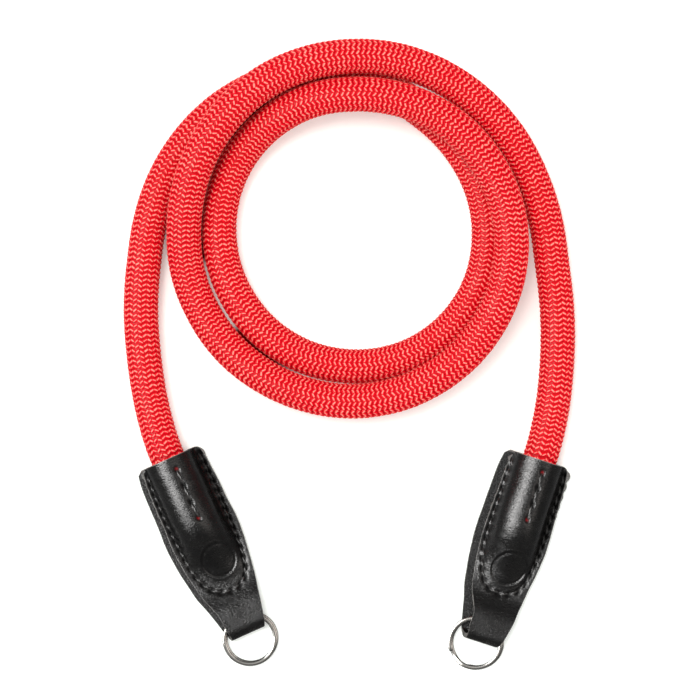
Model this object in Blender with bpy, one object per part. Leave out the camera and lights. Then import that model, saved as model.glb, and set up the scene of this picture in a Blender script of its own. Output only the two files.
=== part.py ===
# Coiled camera strap: a long braided rope laid as a flat coil, with a folded leather tab sewn
# round each end and a steel split ring through each fold. Everything lies on the floor, Z = 0.
# Metres, +Z up; the tabs point to -Y.
import math

import bmesh
import bpy
from mathutils import Matrix, Vector

for old in list(bpy.data.objects):
    bpy.data.objects.remove(old, do_unlink=True)

MM = 0.001

# Clearances
GAP = 0.3 * MM
WIRE_GAP = 0.15 * MM

# Rope
ROPE_RADIUS = 5.4 * MM
COIL_CENTRE_X = 0.2 * MM
COIL_CENTRE_Y = 40.26 * MM
COIL_POINTS = 76
ROPE_ROUND = 4
STUB_LENGTH = 22.0 * MM
STUB_POINTS = 2

# The rope's way, clockwise from the left tab's mouth to the right tab's:
# angle about the coil's centre in degrees, distance from that centre in mm, and
# how far the rope's underside is off the floor in mm.
ROPE_WAY = [
    (231.8, 91.9, 1.9),
    (221.5, 83.0, 0.0),
    (212.0, 76.0, 0.0),
    (201.5, 70.3, 0.0),
    (190.0, 65.5, 0.0),
    (180.0, 62.9, 0.0),
    (165.0, 59.9, 0.0),
    (150.0, 57.1, 0.0),
    (135.0, 54.5, 0.0),
    (120.0, 52.0, 0.0),
    (105.0, 49.3, 0.0),
    (90.0, 47.0, 0.0),
    (75.0, 45.0, 0.0),
    (60.0, 43.0, 0.0),
    (45.0, 42.5, 0.0),
    (30.0, 42.5, 0.0),
    (0.0, 43.5, 0.0),
    (-30.0, 44.5, 0.0),
    (-60.0, 44.5, 0.0),
    (-90.0, 43.5, 0.0),
    (-120.0, 42.5, 0.0),
    (-150.0, 41.5, 0.0),
    (-180.0, 41.0, 0.0),
    (-210.0, 41.0, 0.5),
    (-225.0, 41.0, 2.5),
    (-240.0, 41.0, 6.0),
    (-255.0, 41.0, 9.0),
    (-270.0, 41.0, 11.0),
    (-285.0, 41.8, 11.8),
    (-300.0, 43.1, 11.8),
    (-315.0, 44.7, 11.6),
    (-330.0, 46.4, 11.2),
    (-345.0, 48.1, 10.6),
    (-360.0, 49.9, 9.9),
    (-375.0, 51.3, 9.2),
    (-390.0, 52.4, 8.5),
    (-405.0, 53.3, 7.8),
    (-420.0, 53.9, 7.2),
    (-435.0, 54.3, 6.2),
    (-450.0, 54.3, 5.2),
    (-465.0, 54.0, 4.4),
    (-480.0, 53.7, 3.0),
    (-495.0, 53.5, 1.4),
    (-510.0, 53.0, 0.8),
    (-525.0, 52.6, 2.2),
    (-540.0, 51.8, 5.6),
    (-555.0, 51.5, 9.0),
    (-570.0, 51.4, 11.2),
    (-585.0, 51.6, 11.9),
    (-600.0, 52.0, 11.8),
    (-615.0, 52.3, 11.6),
    (-630.0, 52.8, 10.6),
    (-645.0, 53.7, 9.2),
    (-660.0, 54.6, 7.6),
    (-675.0, 55.7, 6.0),
    (-690.0, 57.1, 4.0),
    (-705.0, 58.8, 2.0),
    (-720.0, 61.6, 0.5),
    (-731.0, 64.5, 0.0),
    (-743.0, 70.5, 0.0),
    (-754.0, 78.0, 0.0),
    (-763.0, 86.0, 0.0),
    (-770.7, 93.6, 1.9),
]

# Leather tabs
LEATHER = 1.5 * MM
FOLD_LEATHER = 1.1 * MM
TAB_LENGTH = 60.4 * MM
LEFT_TAB_HALF_WIDTH = 11.85 * MM
RIGHT_TAB_HALF_WIDTH = 11.1 * MM
FOLD_NARROWING = 0.13
LEFT_TAB_TURN = 24.35
RIGHT_TAB_TURN = -17.95
LEFT_TAB_LEAN = 0.2
RIGHT_TAB_LEAN = 0.35
CAVITY_SIDES = 16
ARCH_STEPS = 12
ARCH_FOOT = 0.7 * MM
SLOT_HEIGHT = 3.7 * MM
SLOT_START = 0.77 * TAB_LENGTH
SLOT_FULL = 0.84 * TAB_LENGTH
SLOT_TIP = 0.8 * MM
SLOT_ROUND = 1.2 * MM
FOLD_STEPS = (20, 40, 60, 80)
SLOT_STEPS = (-90, -60, -30, 0, 30, 60, 90)

# The tab from its mouth to its fold, as shares of its length, of its half width,
# of the arch over the rope and of the opening round the ring.
TAB_SECTIONS = [
    (0.00, 0.860, 1.00, 0.0),
    (0.05, 0.905, 1.00, 0.0),
    (0.10, 0.937, 1.00, 0.0),
    (0.20, 0.960, 1.00, 0.0),
    (0.28, 0.970, 1.00, 0.0),
    (0.34, 0.982, 1.00, 0.0),
    (0.38, 0.995, 1.00, 0.0),
    (0.42, 1.000, 0.93, 0.0),
    (0.46, 1.000, 0.80, 0.0),
    (0.51, 0.982, 0.58, 0.0),
    (0.56, 0.957, 0.36, 0.0),
    (0.61, 0.922, 0.18, 0.0),
    (0.66, 0.876, 0.07, 0.0),
    (0.71, 0.836, 0.01, 0.0),
    (0.76, 0.777, 0.00, 0.0),
    (0.80, 0.713, 0.00, 0.45),
    (0.83, 0.670, 0.00, 0.88),
    (0.86, 0.632, 0.00, 1.0),
    (0.90, 0.583, 0.00, 1.0),
    (0.942, 0.530, 0.00, 1.0),
]

# Split rings
RING_RADIUS = 8.8 * MM
WIRE_WIDTH = 1.3 * MM
WIRE_HEIGHT = 0.9 * MM
WIRE_SIDES = 6
LEFT_RING_BEYOND_FOLD = 1.7 * MM
RIGHT_RING_BEYOND_FOLD = 0.6 * MM
LEFT_RING_ASIDE = 0.0 * MM
RIGHT_RING_ASIDE = 1.05 * MM
LEFT_RING_SPIN = -45
RIGHT_RING_SPIN = 82
RING_FIRST = 5
RING_STEP_FROM = 320
RING_STEP_TO = 360
RING_LAST = 675
RING_STEPS = 56
RING_SPREAD = 0.4 * MM

# What follows from the sizes above
CAVITY_RADIUS = (ROPE_RADIUS + GAP) / math.cos(math.pi / CAVITY_SIDES)
CAVITY_HEIGHT = LEATHER + CAVITY_RADIUS
ARCH_RADIUS = CAVITY_RADIUS + LEATHER
MARGIN_HEIGHT = 2 * LEATHER
LOOP_HEIGHT = MARGIN_HEIGHT + SLOT_HEIGHT
FOLD_RADIUS = LOOP_HEIGHT / 2
RING_STACK = 2 * WIRE_HEIGHT + WIRE_GAP


def material(name, colour, roughness, metallic=0.0):
    made = bpy.data.materials.new(name)
    made.use_nodes = True
    shader = made.node_tree.nodes["Principled BSDF"]
    shader.inputs["Base Color"].default_value = (*colour, 1.0)
    shader.inputs["Roughness"].default_value = roughness
    shader.inputs["Metallic"].default_value = metallic
    return made


RED_BRAID = material("red_braid", (0.72, 0.01, 0.03), 0.7)
BLACK_LEATHER_LEFT = material("black_leather_left", (0.02, 0.02, 0.02), 0.45)
BLACK_LEATHER_RIGHT = material("black_leather_right", (0.02, 0.02, 0.02), 0.45)
STEEL_LEFT = material("steel_left", (0.62, 0.6, 0.57), 0.25, 1.0)
STEEL_RIGHT = material("steel_right", (0.62, 0.6, 0.57), 0.25, 1.0)


def slope(rows, at, column):
    before = rows[max(at - 1, 0)]
    after = rows[min(at + 1, len(rows) - 1)]
    return (after[column] - before[column]) / (after[0] - before[0])


def read_smooth(rows, where):
    """Reads a table at a place in its first column, along a smooth curve through its rows."""
    direction = 1 if rows[-1][0] > rows[0][0] else -1
    at = 0
    while at < len(rows) - 2 and (where - rows[at + 1][0]) * direction > 0:
        at += 1
    span = rows[at + 1][0] - rows[at][0]
    u = (where - rows[at][0]) / span
    values = []
    for column in range(1, len(rows[0])):
        start = rows[at][column]
        end = rows[at + 1][column]
        value = (2 * u ** 3 - 3 * u ** 2 + 1) * start
        value += (3 * u ** 2 - 2 * u ** 3) * end
        value += (u ** 3 - 2 * u ** 2 + u) * span * slope(rows, at, column)
        value += (u ** 3 - u ** 2) * span * slope(rows, at + 1, column)
        values.append(value)
    return values


def rope_point(angle):
    distance, lift = read_smooth(ROPE_WAY, angle)
    turn = math.radians(angle)
    return Vector((
        COIL_CENTRE_X + distance * MM * math.cos(turn),
        COIL_CENTRE_Y + distance * MM * math.sin(turn),
        ROPE_RADIUS + max(lift, 0.0) * MM,
    ))


def evenly(points, count):
    """Points at even distances along a line of many points."""
    reached = [0.0]
    for a, b in zip(points, points[1:]):
        reached.append(reached[-1] + (b - a).length)
    even = []
    at = 0
    for k in range(count):
        wanted = reached[-1] * k / (count - 1)
        while at < len(points) - 2 and reached[at + 1] < wanted:
            at += 1
        share = (wanted - reached[at]) / (reached[at + 1] - reached[at])
        even.append(points[at].lerp(points[at + 1], share))
    return even


def new_object(name, mesh, used_material, smooth):
    made = bpy.data.objects.new(name, mesh)
    mesh.materials.append(used_material)
    for face in mesh.polygons:
        face.use_smooth = smooth
    bpy.context.collection.objects.link(made)
    return made


def bridge_sections(bm, sections):
    """Joins rings of points into one closed skin with a flat face at each end."""
    rings = [[bm.verts.new(point) for point in section] for section in sections]
    count = len(rings[0])
    for first, second in zip(rings, rings[1:]):
        for k in range(count):
            after = (k + 1) % count
            bm.faces.new((first[k], first[after], second[after], second[k]))
    bm.faces.new(list(reversed(rings[0])))
    bm.faces.new(rings[-1])
    bmesh.ops.recalc_face_normals(bm, faces=bm.faces)


def solid(name, sections, used_material, smooth=False):
    bm = bmesh.new()
    bridge_sections(bm, sections)
    mesh = bpy.data.meshes.new(name)
    bm.to_mesh(mesh)
    bm.free()
    return new_object(name, mesh, used_material, smooth)


def cut(body, tool):
    """Takes the tool's solid out of the body."""
    tool.hide_render = True
    tool.display_type = "WIRE"
    modifier = body.modifiers.new("cut", "BOOLEAN")
    modifier.operation = "DIFFERENCE"
    modifier.solver = "EXACT"
    modifier.object = tool
    bpy.context.view_layer.update()
    shaped = body.evaluated_get(bpy.context.evaluated_depsgraph_get())
    mesh = bpy.data.meshes.new_from_object(shaped)
    body.modifiers.clear()
    body.data = mesh
    bpy.data.objects.remove(tool, do_unlink=True)


# The rope's route, from the left tab's mouth to the right tab's
def coil_route():
    first = ROPE_WAY[0][0]
    last = ROPE_WAY[-1][0]
    steps = int(abs(last - first) * 2)
    fine = [rope_point(first + (last - first) * k / steps) for k in range(steps + 1)]
    return evenly(fine, COIL_POINTS)


ROUTE = coil_route()


def along_tab(turn):
    """The direction from a tab's mouth to its fold, turned from straight down the page."""
    return Vector((math.sin(math.radians(turn)), -math.cos(math.radians(turn)), 0.0))


def tab_frame(mouth, turn):
    """Across is X, from mouth to fold is Y, up is Z, with the mouth's middle on the floor."""
    along = along_tab(turn)
    across = along.cross(Vector((0.0, 0.0, 1.0)))
    place = Matrix.Identity(4)
    place.col[0][0:3] = across
    place.col[1][0:3] = along
    place.col[3][0:3] = Vector((mouth.x, mouth.y, 0.0))
    return place


def stub(mouth, turn):
    """The rope's hidden end inside a tab, straight and level."""
    points = []
    for k in range(1, STUB_POINTS + 1):
        point = mouth + along_tab(turn) * STUB_LENGTH * k / STUB_POINTS
        point.z = CAVITY_HEIGHT
        points.append(point)
    return points


def make_rope():
    left_end = list(reversed(stub(ROUTE[0], LEFT_TAB_TURN)))
    right_end = stub(ROUTE[-1], RIGHT_TAB_TURN)
    inner = [point.copy() for point in ROUTE]
    inner[0].z = CAVITY_HEIGHT
    inner[-1].z = CAVITY_HEIGHT
    points = left_end + inner + right_end
    curve = bpy.data.curves.new("rope", "CURVE")
    curve.dimensions = "3D"
    curve.bevel_depth = ROPE_RADIUS
    curve.bevel_resolution = ROPE_ROUND
    curve.use_fill_caps = True
    line = curve.splines.new("POLY")
    line.points.add(len(points) - 1)
    for spot, point in zip(line.points, points):
        spot.co = (*point, 1.0)
    line.use_smooth = True
    curve.materials.append(RED_BRAID)
    rope = bpy.data.objects.new("rope", curve)
    bpy.context.collection.objects.link(rope)
    return rope


# A tab is a strip of leather folded back on itself: the back leaf lies on the floor, the
# front leaf arches over the rope, is sewn flat to the back leaf and opens round the ring.
def arch_points():
    """The front leaf's outline over the rope, from one foot to the other."""
    points = [(ARCH_RADIUS + ARCH_FOOT, MARGIN_HEIGHT)]
    points.append((ARCH_RADIUS + 0.25 * ARCH_FOOT, (MARGIN_HEIGHT + CAVITY_HEIGHT) / 2))
    for k in range(ARCH_STEPS + 1):
        angle = math.pi * k / ARCH_STEPS
        points.append((ARCH_RADIUS * math.cos(angle), CAVITY_HEIGHT + ARCH_RADIUS * math.sin(angle)))
    points.append((-ARCH_RADIUS - 0.25 * ARCH_FOOT, (MARGIN_HEIGHT + CAVITY_HEIGHT) / 2))
    points.append((-ARCH_RADIUS - ARCH_FOOT, MARGIN_HEIGHT))
    return points


def tab_section(along, half_width, arch, opening, bottom, lean):
    """The tab's outer outline at one place: along its top from side to side, then its underside."""
    top = MARGIN_HEIGHT + opening * SLOT_HEIGHT - bottom
    outline = [(half_width, top)]
    shape = arch_points()
    for k, (across, height) in enumerate(shape):
        level = half_width * math.cos(math.pi * (k + 1) / (len(shape) + 1))
        outline.append((level + arch * (across - level), top + arch * (height - MARGIN_HEIGHT)))
    outline.append((-half_width, top))
    outline.append((-half_width, bottom))
    outline.append((half_width, bottom))
    shift = lean * (1 - arch)
    level = LOOP_HEIGHT / 2
    return [Vector((across - shift * (height - level), along, height)) for across, height in outline]


def tab_sections(half_width, lean):
    sections = []
    for share, width, arch, opening in TAB_SECTIONS:
        sections.append(tab_section(
            share * TAB_LENGTH, width * half_width, arch, opening, 0.0, lean))
    fold_start = TAB_LENGTH - FOLD_RADIUS
    end_width = TAB_SECTIONS[-1][1] * half_width
    for degrees in FOLD_STEPS:
        angle = math.radians(degrees)
        sections.append(tab_section(
            fold_start + FOLD_RADIUS * math.sin(angle),
            end_width * (1 - FOLD_NARROWING * math.sin(angle)), 0.0, 1.0,
            FOLD_RADIUS * (1 - math.cos(angle)), lean))
    return sections


def cavity_sections(lean):
    """The room for the rope's end, a little longer than the end and open at the mouth."""
    sections = []
    for along in (-LEATHER, STUB_LENGTH + GAP):
        ring = []
        for k in range(CAVITY_SIDES):
            angle = 2 * math.pi * (k + 0.5) / CAVITY_SIDES
            ring.append(Vector((
                CAVITY_RADIUS * math.cos(angle),
                along,
                CAVITY_HEIGHT + CAVITY_RADIUS * math.sin(angle),
            )))
        sections.append(ring)
    return sections


def slot_sections(half_width):
    """The opening round the ring, from side to side, round at the fold."""
    middle = LOOP_HEIGHT / 2
    end = TAB_LENGTH - FOLD_LEATHER - SLOT_ROUND
    outline = [(SLOT_START, LEATHER + SLOT_TIP), (SLOT_START, LEATHER), (SLOT_FULL, LEATHER)]
    for degrees in SLOT_STEPS:
        angle = math.radians(degrees)
        outline.append((end + SLOT_ROUND * math.cos(angle), middle + SLOT_HEIGHT / 2 * math.sin(angle)))
    outline.append((SLOT_FULL, LOOP_HEIGHT - LEATHER))
    reach = 2 * half_width
    return [[Vector((side * reach, along, up)) for along, up in outline] for side in (-1, 1)]


def make_tab(name, mouth, turn, half_width, lean, used_material):
    tab = solid(name, tab_sections(half_width, lean), used_material)
    cut(tab, solid(name + "_room", cavity_sections(lean), used_material))
    cut(tab, solid(name + "_slot", slot_sections(half_width), used_material))
    tab.data.transform(tab_frame(mouth, turn))
    return tab


# A split ring is one flat wire wound nearly twice, stepping from the lower turn to the upper.
def wire_centre(angle, spin):
    step = (angle - RING_STEP_FROM) / (RING_STEP_TO - RING_STEP_FROM)
    step = min(max(step, 0.0), 1.0)
    step = step * step * (3 - 2 * step)
    turn = math.radians(angle)
    radius = RING_RADIUS - (WIRE_WIDTH + RING_SPREAD) / 2
    rise = (step - 0.5) * (WIRE_HEIGHT + WIRE_GAP)
    spread = (step - 0.5) * RING_SPREAD
    side = math.radians(-spin)
    return Vector((
        radius * math.cos(turn) + spread * math.cos(side),
        radius * math.sin(turn) + spread * math.sin(side),
        rise,
    ))


def make_ring(name, mouth, turn, beyond, aside, spin, used_material):
    sections = []
    for k in range(RING_STEPS + 1):
        angle = RING_FIRST + (RING_LAST - RING_FIRST) * k / RING_STEPS
        centre = wire_centre(angle, spin)
        outward = Vector((math.cos(math.radians(angle)), math.sin(math.radians(angle)), 0.0))
        ring = []
        for side in range(WIRE_SIDES):
            around = math.radians(60 * side + 30)
            ring.append(centre + outward * (WIRE_WIDTH / 2 * math.cos(around) / math.cos(math.radians(30)))
                        + Vector((0.0, 0.0, WIRE_HEIGHT / 2 * math.sin(around))))
        sections.append(ring)
    ring = solid(name, sections, used_material, smooth=True)
    # The free side rests on the floor and the side in the loop clears the back leaf.
    leaves_loop = beyond + FOLD_LEATHER + GAP
    tilt = math.asin((LEATHER + GAP) / (RING_RADIUS + leaves_loop))
    height = RING_RADIUS * math.sin(tilt) + RING_STACK / 2 * math.cos(tilt)
    spun = Matrix.Rotation(math.radians(spin), 4, "Z")
    tilted = Matrix.Rotation(-tilt, 4, "X")
    moved = Matrix.Translation((aside, TAB_LENGTH + beyond, height))
    ring.data.transform(tab_frame(mouth, turn) @ moved @ tilted @ spun)
    return ring


make_rope()
make_tab("left_tab", ROUTE[0], LEFT_TAB_TURN, LEFT_TAB_HALF_WIDTH, LEFT_TAB_LEAN,
         BLACK_LEATHER_LEFT)
make_tab("right_tab", ROUTE[-1], RIGHT_TAB_TURN, RIGHT_TAB_HALF_WIDTH, RIGHT_TAB_LEAN,
         BLACK_LEATHER_RIGHT)
make_ring("left_ring", ROUTE[0], LEFT_TAB_TURN, LEFT_RING_BEYOND_FOLD, LEFT_RING_ASIDE,
          LEFT_RING_SPIN, STEEL_LEFT)
make_ring("right_ring", ROUTE[-1], RIGHT_TAB_TURN, RIGHT_RING_BEYOND_FOLD, RIGHT_RING_ASIDE,
          RIGHT_RING_SPIN, STEEL_RIGHT)
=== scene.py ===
# %% [markdown]
# # A coiled camera strap
#
# The real object is a long braided rope, laid down as a flat coil, with a folded
# leather tab sewn round each end and a steel split ring through each fold. Its plain
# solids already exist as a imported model. This notebook loads them as a frame that never
# moves, and builds a finely made rope, two leather tabs, their stitches and two rings
# exactly where the solids are.

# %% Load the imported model
import math

import bmesh
import bpy
import numpy as np
from mathutils import Matrix, Vector, noise
from mathutils.bvhtree import BVHTree


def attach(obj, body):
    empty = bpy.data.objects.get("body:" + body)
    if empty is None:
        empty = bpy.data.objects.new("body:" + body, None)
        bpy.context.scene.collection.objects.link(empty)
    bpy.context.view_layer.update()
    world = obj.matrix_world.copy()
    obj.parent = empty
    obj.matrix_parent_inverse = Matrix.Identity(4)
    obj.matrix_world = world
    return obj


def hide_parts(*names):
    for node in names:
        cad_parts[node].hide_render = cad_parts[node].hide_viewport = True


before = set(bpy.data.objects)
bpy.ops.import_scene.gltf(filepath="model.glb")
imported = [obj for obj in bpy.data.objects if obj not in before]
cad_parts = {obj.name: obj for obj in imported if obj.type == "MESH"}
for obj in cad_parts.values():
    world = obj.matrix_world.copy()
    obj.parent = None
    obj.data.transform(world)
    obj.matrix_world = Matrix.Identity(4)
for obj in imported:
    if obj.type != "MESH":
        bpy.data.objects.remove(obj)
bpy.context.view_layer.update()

MM = 0.001

print("solids:", sorted(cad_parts))

# %% [markdown]
# ## The camera
#
# The picture was taken from straight above, with the object flat on a table. A long lens
# far away shows almost no perspective, as a product photograph does. The height and the
# width of floor that fills the frame fix the lens, so the render lines up with it.

# %% Place the camera
CAMERA_HEIGHT = 1.2
FLOOR_IN_VIEW = 0.22
SENSOR = 36.0

camera = bpy.data.objects.new("camera", bpy.data.cameras.new("camera"))
camera.location = (0.0002, 0.00196, CAMERA_HEIGHT)
camera.data.sensor_width = SENSOR
camera.data.lens = SENSOR * CAMERA_HEIGHT / FLOOR_IN_VIEW
bpy.context.scene.collection.objects.link(camera)
bpy.context.scene.camera = camera
print("lens, mm:", round(camera.data.lens, 1))

# %% [markdown]
# ## The rope's way
#
# A rope is made from its line. This one leaves the left tab, winds round clockwise two
# and a half times, crosses over itself where the upper turn steps across the lower one,
# and goes into the right tab. The line is kept as a table in the coil's own measures:
# the angle round the coil's centre, the distance from it, and how far the rope's
# underside is off the floor. It is the same table that the solid rope was made from.

# %% The table of the coil
ROPE_WAY = [
    (231.8, 91.9, 1.9),
    (221.5, 83.0, 0.0),
    (212.0, 76.0, 0.0),
    (201.5, 70.3, 0.0),
    (190.0, 65.5, 0.0),
    (180.0, 62.9, 0.0),
    (165.0, 59.9, 0.0),
    (150.0, 57.1, 0.0),
    (135.0, 54.5, 0.0),
    (120.0, 52.0, 0.0),
    (105.0, 49.3, 0.0),
    (90.0, 47.0, 0.0),
    (75.0, 45.0, 0.0),
    (60.0, 43.0, 0.0),
    (45.0, 42.5, 0.0),
    (30.0, 42.5, 0.0),
    (0.0, 43.5, 0.0),
    (-30.0, 44.5, 0.0),
    (-60.0, 44.5, 0.0),
    (-90.0, 43.5, 0.0),
    (-120.0, 42.5, 0.0),
    (-150.0, 41.5, 0.0),
    (-180.0, 41.0, 0.0),
    (-210.0, 41.0, 0.5),
    (-225.0, 41.0, 2.5),
    (-240.0, 41.0, 6.0),
    (-255.0, 41.0, 9.0),
    (-270.0, 41.0, 11.0),
    (-285.0, 41.8, 11.8),
    (-300.0, 43.1, 11.8),
    (-315.0, 44.7, 11.6),
    (-330.0, 46.4, 11.2),
    (-345.0, 48.1, 10.6),
    (-360.0, 49.9, 9.9),
    (-375.0, 51.3, 9.2),
    (-390.0, 52.4, 8.5),
    (-405.0, 53.3, 7.8),
    (-420.0, 53.9, 7.2),
    (-435.0, 54.3, 6.2),
    (-450.0, 54.3, 5.2),
    (-465.0, 54.0, 4.4),
    (-480.0, 53.7, 3.0),
    (-495.0, 53.5, 1.4),
    (-510.0, 53.0, 0.8),
    (-525.0, 52.6, 2.2),
    (-540.0, 51.8, 5.6),
    (-555.0, 51.5, 9.0),
    (-570.0, 51.4, 11.2),
    (-585.0, 51.6, 11.9),
    (-600.0, 52.0, 11.8),
    (-615.0, 52.3, 11.6),
    (-630.0, 52.8, 10.6),
    (-645.0, 53.7, 9.2),
    (-660.0, 54.6, 7.6),
    (-675.0, 55.7, 6.0),
    (-690.0, 57.1, 4.0),
    (-705.0, 58.8, 2.0),
    (-720.0, 61.6, 0.5),
    (-731.0, 64.5, 0.0),
    (-743.0, 70.5, 0.0),
    (-754.0, 78.0, 0.0),
    (-763.0, 86.0, 0.0),
    (-770.7, 93.6, 1.9),
]
COIL_CENTRE = (0.2 * MM, 40.26 * MM)
SOLID_ROPE_RADIUS = 5.4 * MM
ROPE_HEIGHT_IN_TAB = 7.31 * MM
ROPE_HIDDEN_IN_TAB = 22.0 * MM
LEFT_TAB_TURN = 24.35
RIGHT_TAB_TURN = -17.95


def read_smooth(rows, where):
    """Reads a table at places in its first column, along smooth curves through its rows."""
    table = np.array(rows, dtype=float)
    place, values = table[:, 0], table[:, 1:]
    where = np.asarray(where, dtype=float)
    if place[-1] < place[0]:
        place, where = -place, -where
    order = np.arange(len(place))
    before, after = np.maximum(order - 1, 0), np.minimum(order + 1, len(place) - 1)
    slope = (values[after] - values[before]) / (place[after] - place[before])[:, None]
    at = np.clip(np.searchsorted(place, where, side="right") - 1, 0, len(place) - 2)
    span = (place[at + 1] - place[at])[:, None]
    u = (where - place[at])[:, None] / span
    from_start = (2 * u ** 3 - 3 * u ** 2 + 1) * values[at]
    start_slope = (u ** 3 - 2 * u ** 2 + u) * span * slope[at]
    from_end = (3 * u ** 2 - 2 * u ** 3) * values[at + 1]
    end_slope = (u ** 3 - u ** 2) * span * slope[at + 1]
    return from_start + start_slope + (from_end + end_slope)


def along_tab(turn):
    """The direction from a tab's mouth to its fold, turned from straight down the page."""
    return np.array([math.sin(math.radians(turn)), -math.cos(math.radians(turn)), 0.0])


angles = np.arange(ROPE_WAY[0][0], ROPE_WAY[-1][0] - 0.01, -0.25)
distance, lift = read_smooth(ROPE_WAY, angles).T * MM
coil_points = np.stack([
    COIL_CENTRE[0] + distance * np.cos(np.radians(angles)),
    COIL_CENTRE[1] + distance * np.sin(np.radians(angles)),
    SOLID_ROPE_RADIUS + np.maximum(lift, 0.0),
], axis=1)
LEFT_MOUTH, RIGHT_MOUTH = coil_points[0].copy(), coil_points[-1].copy()
print("mouths, mm:", np.round(LEFT_MOUTH / MM, 1), np.round(RIGHT_MOUTH / MM, 1))

# %% [markdown]
# The weave needs to know where each point of the rope is, so the line is cut into even
# half-millimetre steps, its small kinks are smoothed away, and at each step a pair of
# directions is carried along, one to the side and one up. Carrying the last pair on,
# instead of working out a new one, keeps the columns of the braid from twisting.

# %% Even steps and carried directions
STEP = 0.5 * MM
SMOOTH_OVER = 5


def even_line(points, step):
    """The same line in even steps, and how far along it each of its points is."""
    reached = np.concatenate([[0.0], np.cumsum(np.linalg.norm(np.diff(points, axis=0), axis=1))])
    wanted = np.linspace(0.0, reached[-1], int(round(reached[-1] / step)) + 1)
    return np.stack([np.interp(wanted, reached, points[:, k]) for k in range(3)], axis=1), wanted


def hidden_end(mouth, turn):
    """The straight end of the rope inside a tab, from the mouth inwards."""
    inward = np.linspace(0.5 * MM, ROPE_HIDDEN_IN_TAB, 52)[:, None]
    end = mouth + inward * along_tab(turn)
    end[:, 2] = ROPE_HEIGHT_IN_TAB
    return end


rope_line, rope_at = even_line(np.concatenate([
    hidden_end(LEFT_MOUTH, LEFT_TAB_TURN)[::-1], coil_points, hidden_end(RIGHT_MOUTH, RIGHT_TAB_TURN)]), STEP)
weights = np.exp(-0.5 * (np.arange(-3 * SMOOTH_OVER, 3 * SMOOTH_OVER + 1) / SMOOTH_OVER) ** 2)
weights /= weights.sum()
padded_line = np.concatenate([
    2 * rope_line[0] - rope_line[3 * SMOOTH_OVER:0:-1], rope_line,
    2 * rope_line[-1] - rope_line[-2:-3 * SMOOTH_OVER - 2:-1]])
rope_line = np.stack([np.convolve(padded_line[:, k], weights, mode="valid") for k in range(3)], axis=1)
rope_line, rope_at = even_line(rope_line, STEP)
ROPE_LENGTH = rope_at[-1]

heading = np.gradient(rope_line, axis=0)
heading /= np.linalg.norm(heading, axis=1)[:, None]
rope_up = np.empty_like(rope_line)
carried = np.array([0.0, 0.0, 1.0])
for k, ahead in enumerate(heading):
    carried = carried - ahead * carried.dot(ahead)
    carried /= np.linalg.norm(carried)
    rope_up[k] = carried
rope_side = np.cross(heading, rope_up)


def on_rope(along, around, out):
    """Bends points onto the rope: their distance along it, angle round it and distance out."""
    centre, side, up = (
        np.stack([np.interp(along, rope_at, line[:, k]) for k in range(3)], axis=-1)
        for line in (rope_line, rope_side, rope_up))
    out = np.broadcast_to(out, along.shape)[..., None]
    return centre + out * (np.cos(around)[..., None] * side + np.sin(around)[..., None] * up)


print("rope length, mm:", round(ROPE_LENGTH / MM, 1), " steps:", len(rope_line))

# %% [markdown]
# ## Tools for the surfaces
#
# Every finish below is a small node tree. One class stands for a socket, so that shader
# maths can be written as ordinary sums, and another adds any node by its type, its
# settings and what goes into its sockets. Colours and vectors go through Mix and Vector
# Math nodes instead, because a Math node would turn a colour grey.

# %% Sockets that can be added and multiplied
class Signal:
    """One output socket, usable in sums with numbers and other signals."""

    def __init__(self, finish, socket):
        self.finish = finish
        self.socket = socket

    def other(self, output):
        """Another output of the same node."""
        return Signal(self.finish, self.socket.node.outputs[output])

    def sum(self, operation, first, second):
        return self.finish.add("ShaderNodeMath", {"operation": operation}, {0: first, 1: second})

    def __add__(self, other):
        return self.sum("ADD", self, other)

    def __radd__(self, other):
        return self.sum("ADD", other, self)

    def __sub__(self, other):
        return self.sum("SUBTRACT", self, other)

    def __rsub__(self, other):
        return self.sum("SUBTRACT", other, self)

    def __mul__(self, other):
        return self.sum("MULTIPLY", self, other)


class Nodes:
    """A node tree that is written as a list of what goes into what."""

    def __init__(self, tree):
        self.nodes = tree.nodes
        self.links = tree.links

    def add(self, kind, settings, sockets, output=0):
        """Adds a node: its settings first, then the numbers and links of its sockets."""
        node = self.nodes.new(kind)
        for name, value in settings.items():
            setattr(node, name, value)
        for name, value in sockets.items():
            self.feed(node.inputs[name], value)
        return Signal(self, node.outputs[output])

    def feed(self, socket, value):
        if isinstance(value, Signal):
            self.links.new(value.socket, socket)
        else:
            socket.default_value = value

    def between(self, value, low, high, to_low=0.0, to_high=1.0):
        """Follows a value from one range smoothly into another."""
        return self.add("ShaderNodeMapRange", {"interpolation_type": "SMOOTHSTEP"}, {
            "Value": value, "From Min": low, "From Max": high, "To Min": to_low, "To Max": to_high})


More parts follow.
